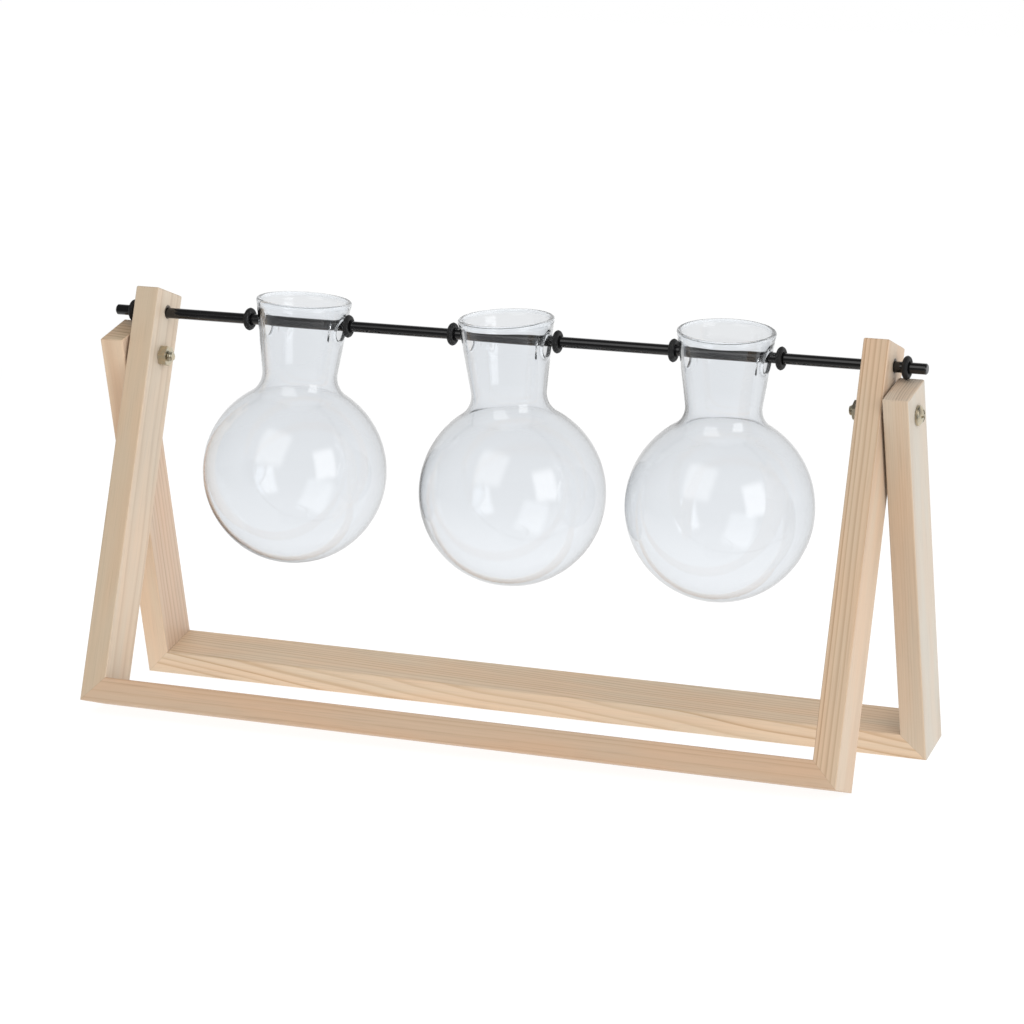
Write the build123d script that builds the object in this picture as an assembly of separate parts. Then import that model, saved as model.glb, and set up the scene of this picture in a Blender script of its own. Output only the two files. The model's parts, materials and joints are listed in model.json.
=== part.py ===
from build123d import *
import math
import os
from typing import NamedTuple

# A tabletop propagation stand. Two U-shaped timber frames, mitred at their lower corners, are hinged
# together near their tops by a screw on each side and stand spread like an A. A steel rod runs through
# the tops of the front legs, and three blown-glass flasks hang on it by holes in their necks. Rubber
# rings on the rod space the flasks, keep the rod in its holes, and stop the rear legs from spreading.
#
# Millimetres and degrees. X runs along the rod, Y from front to back, Z up. The origin is on the table,
# under the middle of the stand.

# Timber strip
timber_width = 9.6
timber_depth = 20.0
timber_edge_round = 0.6
leg_top_chamfer = 0.4

# Frames, as they stand: leans are from upright, lengths are along the front leg
front_lean = 17.0
rear_lean = 15.2
foot_to_pivot = 134.5
pivot_to_rod = 16.6
rod_to_leg_top = 8.2

# Pivot screws, nuts and washers
screw_diameter = 4.0
screw_head_overhang = 1.7
screw_head_height = 2.5
screw_head_side = 0.9
screw_end_beyond_nut = 1.8
screw_end_chamfer = 0.4
recess_span = 4.4
recess_width = 1.0
recess_depth = 1.3
recess_taper = 12.0
nut_wall = 1.5
nut_thickness = 3.2
nut_corner_chamfer = 0.5
washer_width = 2.5
washer_thickness = 0.8
screw_hole_clearance = 0.1
thread_clearance = 0.03
turning_clearance = 0.1

# Corner brads
brad_diameter = 1.2
brad_length = 16.0

# Rod and rubber rings
rod_diameter = 4.0
rod_hole_clearance = 0.15
rod_end_chamfer = 0.4
rod_end_beyond_ring = 6.4
ring_section = 2.2
ring_bore_clearance = 0.05
end_ring_gap = 3.5
ring_stop_clearance = 0.2

# Glass flasks
globe_diameter = 69.9
flask_height = 101.4
mouth_diameter = 36.0
neck_diameter = 26.6
shoulder_radius = 9.2
glass_wall = 1.2
lip_flat = 0.2
hang_hole_play = 3.8
hang_hole_round = 0.35
hang_clearance = 0.1
bore_overrun = 3.0

# Spaces along the rod
globe_to_globe = 15.9
globe_to_leg = 19.65


class Hanging(NamedTuple):
    """How one flask hangs: its bay from the middle, its shift from there, its sideways lean with the
    globe towards +X, its swing about the rod with the mouth to the front, how far below its rim the
    rod passes, and the gaps from its neck to the rubber ring on each side."""

    bay: int
    shift: float
    lean: float
    swing: float
    rod_below_rim: float
    left_gap: float
    right_gap: float


flasks = {
    "left": Hanging(-1, 2.95, -3.4, 0.4, 9.1, 4.35, 1.25),
    "middle": Hanging(0, 0.95, 1.2, 3.9, 7.7, 3.75, 2.15),
    "right": Hanging(1, 0.75, -2.9, 5.8, 8.9, 2.15, 3.25),
}
sides = {"left": -1, "right": 1}

# Widths, worked out from the middle outwards
flask_pitch = globe_diameter + globe_to_globe
flask_bays = [hanging.bay for hanging in flasks.values()]
front_inner_half = max(flask_bays) * flask_pitch + globe_diameter / 2 + globe_to_leg
front_half_width = front_inner_half + timber_width
leg_gap = washer_thickness + turning_clearance
rear_half_width = front_half_width + leg_gap + timber_width

# Radii of what turns or slides
screw_radius = screw_diameter / 2
rod_radius = rod_diameter / 2
ring_tube_radius = ring_section / 2
ring_centre_radius = rod_radius + ring_bore_clearance + ring_tube_radius
ring_outer_radius = ring_centre_radius + ring_tube_radius

# Leg tops: the rear legs stop just short of the end rings, which keep them from spreading further
spread = math.radians(front_lean + rear_lean)
front_leg_top = pivot_to_rod + rod_to_leg_top
rear_leg_top = pivot_to_rod * math.cos(spread) - ring_outer_radius - ring_stop_clearance

# The flask's neck is a cone that meets the globe; heights are from the rim
globe_radius = globe_diameter / 2
globe_centre = globe_radius - flask_height
neck_meets_globe = globe_centre + math.sqrt(globe_radius**2 - (neck_diameter / 2) ** 2)
neck_slope = (neck_diameter - mouth_diameter) / 2 / neck_meets_globe


def edge_reach(foot, lean):
    """How far the rounded edges of a leaning foot lie below the pivot, and out from it."""
    angle = math.radians(lean)
    along = foot - timber_edge_round
    across = timber_depth / 2 - timber_edge_round
    below = along * math.cos(angle) + across * math.sin(angle) + timber_edge_round
    outward = along * math.sin(angle) + across * math.cos(angle) + timber_edge_round
    return below, outward


def foot_reaching(below, lean):
    """The foot length whose lowest rounded edge lies a given height below the pivot."""
    angle = math.radians(lean)
    across = timber_depth / 2 - timber_edge_round
    return (below - timber_edge_round - across * math.sin(angle)) / math.cos(angle) + timber_edge_round


# Both feet reach the table, and the stand is centred from front to back
pivot_height, front_reach = edge_reach(foot_to_pivot, front_lean)
rear_foot_to_pivot = foot_reaching(pivot_height, rear_lean)
rear_reach = edge_reach(rear_foot_to_pivot, rear_lean)[1]
pivot_y = (front_reach - rear_reach) / 2
rod_y = pivot_y + pivot_to_rod * math.sin(math.radians(front_lean))
rod_z = pivot_height + pivot_to_rod * math.cos(math.radians(front_lean))

pivot_place = Pos(0, pivot_y, pivot_height)
front_frame_place = pivot_place * Rot(-front_lean, 0, 0)
rear_frame_place = pivot_place * Rot(rear_lean, 0, 0)
rod_place = Pos(0, rod_y, rod_z)
along_x = Rot(0, 90, 0)


# Timber frames, drawn upright about the pivot axis and then leaned into place

def strip(length):
    """A length of eased timber strip standing on the XY plane."""
    return extrude(RectangleRounded(timber_width, timber_depth, timber_edge_round), length)


def mitre_plane(side, half_width, foot):
    """The joint plane of a lower corner, facing the leg."""
    return Plane(origin=(side * half_width, 0, -foot), x_dir=(0, 1, 0), z_dir=(side, 0, 1))


def corner_brad(side, half_width, foot):
    """A brad driven up through the rail's end into a leg."""
    leg_centre = side * (half_width - timber_width / 2)
    return Pos(leg_centre, 0, brad_length / 2 - foot) * Cylinder(brad_diameter / 2, brad_length)


def make_leg(side, half_width, foot, top, holes):
    """One leg, with a cross hole for each height above the pivot and radius in holes."""
    leg_centre = side * (half_width - timber_width / 2)
    leg = Pos(leg_centre, 0, -foot) * strip(foot + top)
    leg = chamfer(leg.faces().sort_by(Axis.Z)[-1].edges(), leg_top_chamfer)
    leg = split(leg, bisect_by=mitre_plane(side, half_width, foot), keep=Keep.TOP)
    for height, radius in holes.items():
        leg -= Pos(leg_centre, 0, height) * along_x * Cylinder(radius, 2 * timber_width)
    return leg - corner_brad(side, half_width, foot)


def make_rail(half_width, foot):
    """The lower rail of a frame, mitred at both ends."""
    rail = Pos(-half_width, 0, timber_width / 2 - foot) * along_x * strip(2 * half_width)
    for side in sides.values():
        rail = split(rail, bisect_by=mitre_plane(side, half_width, foot), keep=Keep.BOTTOM)
        rail -= corner_brad(side, half_width, foot)
    return rail


def make_frame(name, place, half_width, foot, top, holes):
    """The legs, rail and brads of one frame, by node name."""
    pieces = {
        f"{name}_{side_name}_leg": place * make_leg(side, half_width, foot, top, holes)
        for side_name, side in sides.items()
    }
    pieces[f"{name}_rail"] = place * make_rail(half_width, foot)
    brads = [place * corner_brad(side, half_width, foot) for side in sides.values()]
    pieces[f"{name}_corner_brads"] = Compound(brads)
    return pieces


def make_frames():
    """Both frames, by node name: the front legs also carry the rod."""
    screw_hole = screw_radius + screw_hole_clearance
    front_holes = {0: screw_hole, pivot_to_rod: rod_radius + rod_hole_clearance}
    front = make_frame(
        "front", front_frame_place, front_half_width, foot_to_pivot, front_leg_top, front_holes
    )
    rear = make_frame(
        "rear", rear_frame_place, rear_half_width, rear_foot_to_pivot, rear_leg_top, {0: screw_hole}
    )
    return front | rear


# Pivot hardware, drawn outwards along Z from the front leg's inner face and then laid along X

def make_screw():
    """A cross-recessed pan-head screw, its head outside the rear leg and its end past the nut."""
    head_base = 2 * timber_width + leg_gap + turning_clearance
    shank_end = -nut_thickness - screw_end_beyond_nut
    shank = Pos(0, 0, shank_end) * extrude(Circle(screw_radius), head_base - shank_end)
    shank = chamfer(shank.edges().sort_by(Axis.Z)[0], screw_end_chamfer)
    head_radius = screw_radius + screw_head_overhang
    rim = (head_radius, 0, screw_head_side)
    crown = (0, 0, screw_head_height)
    sides_and_base = Polyline(crown, (0, 0, 0), (head_radius, 0, 0), rim)
    dome = TangentArc(crown, rim, tangent=(1, 0, 0))
    head = revolve(make_face([*sides_and_base.edges(), dome]), Axis.Z)
    recess_arm = Rectangle(recess_span, recess_width)
    recess = extrude(recess_arm + Rot(0, 0, 90) * recess_arm, -recess_depth, taper=recess_taper)
    return shank + Pos(0, 0, head_base) * (head - Pos(0, 0, screw_head_height) * recess)


def make_nut():
    """A hexagon nut against the front leg's inner face, its corners chamfered."""
    inner_radius = screw_radius + nut_wall
    corner_radius = inner_radius / math.cos(math.radians(30))
    blank = extrude(RegularPolygon(corner_radius, 6, rotation=30), -nut_thickness)
    turned = extrude(Circle(corner_radius), -nut_thickness)
    turned = chamfer(turned.edges(), length=nut_corner_chamfer / 2, length2=nut_corner_chamfer)
    return (blank & turned) - Cylinder(screw_radius + thread_clearance, 3 * nut_thickness)


def make_washer():
    """A plain washer between the legs, lying on the front leg's outer face."""
    ring = Circle(screw_radius + washer_width) - Circle(screw_radius + screw_hole_clearance)
    return Pos(0, 0, timber_width) * extrude(ring, washer_thickness)


def make_pivots():
    """Screw, nut and washer of both pivots, by node name."""
    drawn = {"pivot_screw": make_screw(), "pivot_nut": make_nut(), "pivot_washer": make_washer()}
    pieces = {}
    for side_name, side in sides.items():
        place = front_frame_place * Pos(side * front_inner_half, 0, 0) * Rot(0, side * 90, 0)
        for piece_name, piece in drawn.items():
            pieces[f"{piece_name}_{side_name}"] = place * piece
    return pieces


# Rod and rubber rings

def flask_place(hanging):
    """Where along the rod a flask hangs."""
    return hanging.bay * flask_pitch + hanging.shift


def neck_radius(height):
    """The outside radius of the neck's cone at a height from the rim."""
    return mouth_diameter / 2 + neck_slope * height


def make_rod():
    """The hanging rod, reaching past the end rings on both sides."""
    half_length = front_half_width + end_ring_gap + ring_section + rod_end_beyond_ring
    rod = along_x * Cylinder(rod_radius, 2 * half_length)
    return rod_place * chamfer(rod.edges().filter_by(GeomType.CIRCLE), rod_end_chamfer)


def make_ring(x):
    """A rubber ring on the rod, centred at x."""
    return rod_place * Pos(x, 0, 0) * along_x * Torus(ring_centre_radius, ring_tube_radius)


def make_rings():
    """The rings beside the flasks and those outside the front legs, by node name."""
    pieces = {}
    for name, hanging in flasks.items():
        neck_side = neck_radius(-hanging.rod_below_rim)
        gaps = {"left": hanging.left_gap, "right": hanging.right_gap}
        for side_name, side in sides.items():
            offset = neck_side + gaps[side_name] + ring_tube_radius
            pieces[f"{name}_flask_ring_{side_name}"] = make_ring(flask_place(hanging) + side * offset)
    end_place = front_half_width + end_ring_gap + ring_tube_radius
    for side_name, side in sides.items():
        pieces[f"end_ring_{side_name}"] = make_ring(side * end_place)
    return pieces


# Glass flasks, drawn about Z with the rim at height zero and then hung on the rod

def flask_form(inset, top):
    """The flask's solid of revolution, drawn in by inset all over and cut off level at top."""
    mouth = mouth_diameter / 2 - inset * math.hypot(1, neck_slope)
    globe = globe_radius - inset

    # The height where the neck's cone, mouth + slope * height, meets the globe's circle
    a = 1 + neck_slope**2
    b = mouth * neck_slope - globe_centre
    c = mouth**2 + globe_centre**2 - globe**2
    meeting = (math.sqrt(b**2 - a * c) - b) / a

    shoulder = (mouth + neck_slope * meeting, 0, meeting)
    base = (0, 0, globe_centre - globe)
    globe_side = ThreePointArc(shoulder, (globe, 0, globe_centre), base)
    neck_and_axis = Polyline(base, (0, 0, top), (mouth + neck_slope * top, 0, top), shoulder)
    half_section = make_face([*neck_and_axis.edges(), globe_side])
    shoulder_corner = half_section.vertices().sort_by_distance(shoulder)[0]
    return revolve(fillet(shoulder_corner, shoulder_radius + inset), Axis.Z)


def make_flask(hanging):
    """One flask hung on the rod, its hang holes drilled level through the leaning neck."""
    flask = flask_form(0, 0) - flask_form(glass_wall, bore_overrun)
    lip_edges = flask.edges().filter_by(GeomType.CIRCLE).sort_by(Axis.Z)[-2:]
    flask = fillet(lip_edges, (glass_wall - lip_flat) / 2)
    hung = Rot(0, -hanging.lean, 0) * Pos(0, 0, hanging.rod_below_rim) * flask
    hole_radius = rod_radius + hang_hole_play / 2
    hole_height = rod_radius + hang_clearance - hole_radius
    hole = Pos(0, 0, hole_height) * along_x * Cylinder(hole_radius, 2 * mouth_diameter)
    drilled = hung - hole
    drilled = fillet(new_edges(hung, hole, combined=drilled), hang_hole_round)
    return rod_place * Pos(flask_place(hanging), 0, 0) * Rot(hanging.swing, 0, 0) * drilled


def make_stand():
    """Every piece of the stand, by node name."""
    pieces = make_frames() | make_pivots()
    pieces["hanging_rod"] = make_rod()
    pieces |= make_rings()
    pieces |= {f"{name}_flask": make_flask(hanging) for name, hanging in flasks.items()}
    return pieces


os.makedirs("parts", exist_ok=True)
for node, piece in make_stand().items():
    export_step(piece, f"parts/{node}.step")
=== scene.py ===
"""Looks of a tabletop propagation vase: a folding pine stand, a black rod and three glass flasks.

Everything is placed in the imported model's own frame. Sizes in the classes are millimetres and degrees,
and Surface.make turns them into metres. Only the studio's floor and lights are set out in metres.
"""

import json
import logging
import math
from dataclasses import dataclass, field, replace
from enum import Enum
from typing import Iterable, Sequence

import bmesh
import bpy
from mathutils import Matrix, Vector


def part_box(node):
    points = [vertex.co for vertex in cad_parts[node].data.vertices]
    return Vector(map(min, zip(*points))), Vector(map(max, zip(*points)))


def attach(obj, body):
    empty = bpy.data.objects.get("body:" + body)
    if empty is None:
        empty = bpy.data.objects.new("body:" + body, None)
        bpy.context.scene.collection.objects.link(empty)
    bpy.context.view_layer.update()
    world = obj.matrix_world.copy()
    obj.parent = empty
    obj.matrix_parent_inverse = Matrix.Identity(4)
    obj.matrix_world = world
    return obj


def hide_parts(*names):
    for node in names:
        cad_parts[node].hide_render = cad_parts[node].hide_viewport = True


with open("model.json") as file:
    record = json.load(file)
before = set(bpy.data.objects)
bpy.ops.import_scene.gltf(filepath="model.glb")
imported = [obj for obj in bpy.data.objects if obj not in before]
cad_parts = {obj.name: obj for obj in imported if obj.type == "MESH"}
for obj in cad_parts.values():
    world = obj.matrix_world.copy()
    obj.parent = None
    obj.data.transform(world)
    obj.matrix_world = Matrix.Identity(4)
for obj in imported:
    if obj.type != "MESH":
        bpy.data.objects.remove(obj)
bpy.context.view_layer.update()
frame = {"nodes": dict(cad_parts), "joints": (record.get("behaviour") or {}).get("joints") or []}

LOG = logging.getLogger("propagation_vase")
MM = 0.001
Colour = tuple[float, float, float, float]
Span = tuple[float, float]
Socket = bpy.types.NodeSocket
Material = bpy.types.Material
Piece = bpy.types.Object
Feed = Socket | float | Sequence[float]


class Slot(Enum):
    """The record's material slots for the new pieces' rubber, glass and zinc; nothing here gives a piece
    one. The CAD solids keep their own.
    """

    RUBBER = "ring_rubber"
    GLASS = "flask_glass"
    ZINC = "pivot_zinc"


class Side(Enum):
    """The two sides of the stand, by the sign of X."""

    LEFT = -1
    RIGHT = 1


class Run(Enum):
    """Which way a timber stick runs in its frame."""

    UPRIGHT = "upright"
    LEVEL = "level"


def srgb(*rgb: int) -> Colour:
    """Turn a screen colour, each part from 0 to 255, into the linear colour that shaders take."""
    shares = [value / 255 for value in rgb]
    return (*(s / 12.92 if s <= 0.04045 else ((s + 0.055) / 1.055) ** 2.4 for s in shares), 1.0)


def joint_place(name: str) -> Vector:
    """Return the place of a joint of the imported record, in millimetres."""
    joint = next(j for j in frame["joints"] if j["name"] == name)
    return Vector(joint["pos_m"]) / MM


def turned(degrees: float, axis: str) -> Matrix:
    """Return a turn about an axis."""
    return Matrix.Rotation(math.radians(degrees), 4, axis)


def polar(angle: float, radius: float, height: float) -> Vector:
    """Return a point at an angle and radius about Z."""
    return Vector((radius * math.cos(angle), radius * math.sin(angle), height))


def ease(part: float) -> float:
    """Ease a share from 0 to 1, level at both ends."""
    part = max(0.0, min(1.0, part))
    return part**2 * (3 - 2 * part)


@dataclass(frozen=True)
class Noise:
    """A noise texture: its scale along each axis, its detail, and how far it is moved aside."""

    scale: tuple[float, float, float]
    detail: float
    shift: float = 0.0


class Graph:
    """A node tree under construction, with short calls for the nodes that the finishes share."""

    aside = (1.0, 1.7, 2.3)

    def __init__(self, tree: bpy.types.NodeTree) -> None:
        """Empty a node tree and keep it."""
        self.tree = tree
        tree.nodes.clear()

    @classmethod
    def of_material(cls, name: str) -> tuple["Graph", Material]:
        """Make a material with an empty tree.

        Args:
            name: The material's name.

        Returns:
            The graph and its material.
        """
        material = bpy.data.materials.new(name)
        material.use_nodes = True
        return cls(material.node_tree), material

    def feed(self, socket: Socket, value: Feed) -> None:
        """Link an input to another node's output, or set it to a value.

        Args:
            socket: The input.
            value: The output or the value.
        """
        if isinstance(value, Socket):
            self.tree.links.new(value, socket)
        else:
            socket.default_value = value

    def node(self, kind: str, inputs: dict | None = None, **settings: object) -> bpy.types.Node:
        """Add a node.

        Args:
            kind: Blender's name of the node type.
            inputs: What feeds each input, by its name or number.
            **settings: The node's own properties.

        Returns:
            The new node.
        """
        made = self.tree.nodes.new(kind)
        for name, value in settings.items():
            setattr(made, name, value)
        for key, value in (inputs or {}).items():
            self.feed(made.inputs[key], value)
        return made

    def math(self, operation: str, *values: Feed) -> Socket:
        """Return the result of a Math node, by Blender's name of its operation."""
        return self.node("ShaderNodeMath", dict(enumerate(values)), operation=operation).outputs[0]

    def line(self, value: Feed, slope: Feed, base: Feed) -> Socket:
        """Return a value times a slope, plus a base."""
        return self.math("MULTIPLY_ADD", value, slope, base)

    def between(self, value: Feed, low: float, high: float) -> Socket:
        """Spread a value from 0 to 1 evenly from low to high."""
        return self.line(value, high - low, low)

    def step(self, value: Feed, low: float, high: float, start: Feed = 0.0, end: Feed = 1.0) -> Socket:
        """Ease from start to end while a value goes from low to high."""
        inputs = {"Value": value, "From Min": low, "From Max": high, "To Min": start, "To Max": end}
        return self.node("ShaderNodeMapRange", inputs, interpolation_type="SMOOTHSTEP").outputs[0]

    def around(self, value: Feed, amount: float) -> Socket:
        """Turn a value from 0 to 1 into a factor from 1 - amount to 1 + amount."""
        return self.between(value, 1 - amount, 1 + amount)

    def combine(self, x: Feed, y: Feed, z: Feed) -> Socket:
        """Join three values into a vector."""
        return self.node("ShaderNodeCombineXYZ", {0: x, 1: y, 2: z}).outputs[0]

    def split(self, vector: Feed) -> tuple[Socket, ...]:
        """Split a vector into its three values."""
        return tuple(self.node("ShaderNodeSeparateXYZ", {0: vector}).outputs)

    def stretch(self, vector: Feed, scale: Sequence[float], shift: float = 0.0) -> Socket:
        """Scale a vector by axis and shift it, for a texture's coordinates."""
        inputs = {0: vector, 1: tuple(scale), 2: tuple(shift * way for way in self.aside)}
        return self.node("ShaderNodeVectorMath", inputs, operation="MULTIPLY_ADD").outputs[0]

    def scale(self, colour: Feed, factor: Feed) -> Socket:
        """Multiply a colour by a factor."""
        return self.node("ShaderNodeVectorMath", {0: colour, "Scale": factor}, operation="SCALE").outputs[0]

    def measure(self, operation: str, *vectors: Feed) -> Socket:
        """Return the value that a Vector Math node measures, by Blender's name of its operation."""
        inputs = dict(enumerate(vectors))
        return self.node("ShaderNodeVectorMath", inputs, operation=operation).outputs["Value"]

    def mix(self, factor: Feed, first: Feed, second: Feed, blend: str = "MIX") -> Socket:
        """Mix two colours by the share of the second, in one of Blender's blend modes."""
        inputs = {0: factor, 6: first, 7: second}
        return self.node("ShaderNodeMix", inputs, data_type="RGBA", blend_type=blend).outputs[2]

    def noise(self, spot: Feed, kind: Noise, seed: float = 0.0) -> Socket:
        """Return the value of a noise texture, moved aside by a seed as well."""
        inputs = {"Vector": self.stretch(spot, kind.scale, kind.shift + seed), "Scale": 1.0}
        return self.node("ShaderNodeTexNoise", inputs | {"Detail": kind.detail}).outputs[0]

    def ramp(self, value: Feed, stops: Sequence[Span]) -> Socket:
        """Map a value through a curve of grey stops.

        Args:
            value: What is read, from 0 to 1.
            stops: Each position, in order, and the result there.

        Returns:
            The mapped value.
        """
        made = self.node("ShaderNodeValToRGB", {0: value})
        elements = made.color_ramp.elements
        while len(elements) < len(stops):
            elements.new(0.5)
        for element, (position, grey) in zip(elements, stops):
            element.position = position
            element.color = (grey, grey, grey, 1.0)
        return made.outputs[0]

    def bump(self, height: Feed, strength: float, distance_mm: float) -> Socket:
        """Turn a height into a bumped normal."""
        inputs = {"Height": height, "Strength": strength, "Distance": distance_mm * MM}
        return self.node("ShaderNodeBump", inputs).outputs[0]

    def surface(self, inputs: dict[str, Feed]) -> None:
        """Finish a material with one Principled shader."""
        shader = self.node("ShaderNodeBsdfPrincipled", inputs)
        self.node("ShaderNodeOutputMaterial", {"Surface": shader.outputs[0]})

    def object_mm(self) -> Socket:
        """Return the object's own coordinates in millimetres."""
        spot = self.node("ShaderNodeTexCoord").outputs["Object"]
        return self.stretch(spot, (1 / MM, 1 / MM, 1 / MM))


@dataclass
class Surface:
    """Points in millimetres and the faces between them, collected for one piece."""

    points: list[Vector] = field(default_factory=list)
    faces: list[list[int]] = field(default_factory=list)

    def add(self, points: Iterable[Vector]) -> list[int]:
        """Add points.

        Args:
            points: The points.

        Returns:
            Their numbers.
        """
        start = len(self.points)
        self.points.extend(points)
        return list(range(start, len(self.points)))

    def bridge(self, first: list[int], second: list[int]) -> None:
        """Join two closed loops of the same count with quads."""
        corners = zip(first, first[1:] + first[:1], second[1:] + second[:1], second)
        self.faces += [list(quad) for quad in corners]

    def close(self, loop: list[int], centre: Vector) -> None:
        """Close a loop with triangles that meet at a point."""
        (tip,) = self.add([centre])
        self.faces += [[one, other, tip] for one, other in zip(loop, loop[1:] + loop[:1])]

    def make(self, name: str, place: Matrix, sharp_angle: float = 180.0) -> Piece:
        """Make the piece's object, its mesh in the shared frame.

        Args:
            name: The piece's name.
            place: Where the points go, in millimetres.
            sharp_angle: The angle above which an edge stays sharp.

        Returns:
            The linked object, with its faces turned outwards and shaded smooth.
        """
        mesh = bpy.data.meshes.new(name)
        mesh.from_pydata([(place @ point) * MM for point in self.points], [], self.faces)
        shell = bmesh.new()
        shell.from_mesh(mesh)
        bmesh.ops.recalc_face_normals(shell, faces=shell.faces[:])
        shell.to_mesh(mesh)
        shell.free()
        mesh.shade_smooth()
        mesh.set_sharp_from_angle(angle=math.radians(sharp_angle))
        piece = bpy.data.objects.new(name, mesh)
        bpy.context.scene.collection.objects.link(piece)
        return piece


def install(piece: Piece, body: str, node: str, material: Material) -> None:
    """Put a new piece in the place of a CAD node.

    Args:
        piece: The new piece.
        body: The body that it moves with.
        node: The node that it stands for.
        material: Its finish.
    """
    piece.data.materials.append(material)
    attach(piece, body)
    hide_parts(node)
    LOG.info("%s stands for %s on %s", piece.name, node, body)


def dress_node(node: str, material: Material) -> None:
    """Give a CAD node its finish."""
    frame["nodes"][node].material_slots[0].material = material
    LOG.info("%s dressed in %s", node, material.name)


@dataclass(frozen=True)
class PineFigure:
    """How the grain of one stick lies and looks.

    The pith is where the tree's heart was, across and through the stick from its middle. A pith that is
    far across puts lines on the stick's narrow face, and one that is far through puts them on its broad
    sides. The slant is how far the grain runs out through the stick, along its length. The tints of the
    broad sides and of the sawn ends are what the colour is multiplied by there. The broad sides' tint is
    partly the wood's own tone and partly painted sheen and painted light, which make those sides paler,
    bluer or darker as they caught the light. broad_lines is how much of the lines shows on the broad
    sides, where the saw ran along the rings.
    """

    pith: Span
    ring_spacing: float
    contrast: float
    sapwood: Colour
    latewood: Colour
    wander: float = 1.6
    slant: float = 0.0
    taper: float = 0.004
    seed: float = 0.0
    # tint of the broad sides: partly the wood's own tone, partly painted sheen and painted light
    broad_tone_and_sheen: Colour = (1.0, 1.0, 1.0, 1.0)
    broad_lines: float = 1.0
    ends: Colour = (0.92, 0.89, 0.88, 1.0)


@dataclass(frozen=True)
class Stick:
    """One timber stick: its node, the way it runs, its middle across the frame, and its grain."""

    node: str
    run: Run
    middle: float
    figure: PineFigure
    rod_hole: bool = False


@dataclass(frozen=True)
class TimberFrame:
    """One mitred U-shaped frame, with the grain of its two legs and its rail.

    It leans about X. The foot is how far its underside lies below the pivot.
    """

    name: str
    lean: float
    half_width: float
    foot: float
    left: PineFigure
    right: PineFigure
    rail: PineFigure
    holds_rod: bool = False
    timber_width: float = 9.6

    def sticks(self) -> tuple[Stick, ...]:
        """Lay out the frame.

        Returns:
            Its two legs and its rail.
        """
        leg = self.half_width - self.timber_width / 2
        rail = self.timber_width / 2 - self.foot
        return (
            Stick(f"{self.name}_left_leg", Run.UPRIGHT, -leg, self.left, self.holds_rod),
            Stick(f"{self.name}_right_leg", Run.UPRIGHT, leg, self.right, self.holds_rod),
            Stick(f"{self.name}_rail", Run.LEVEL, rail, self.rail),
        )


@dataclass(frozen=True)
class HoleRim:
    """One ring round the rod's hole, of pale torn fibres or of painted shade: how ragged it is, where it
    fades, its strength and its colour.
    """

    ragged: float
    fade: Span
    strength: float
    colour: Colour


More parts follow.
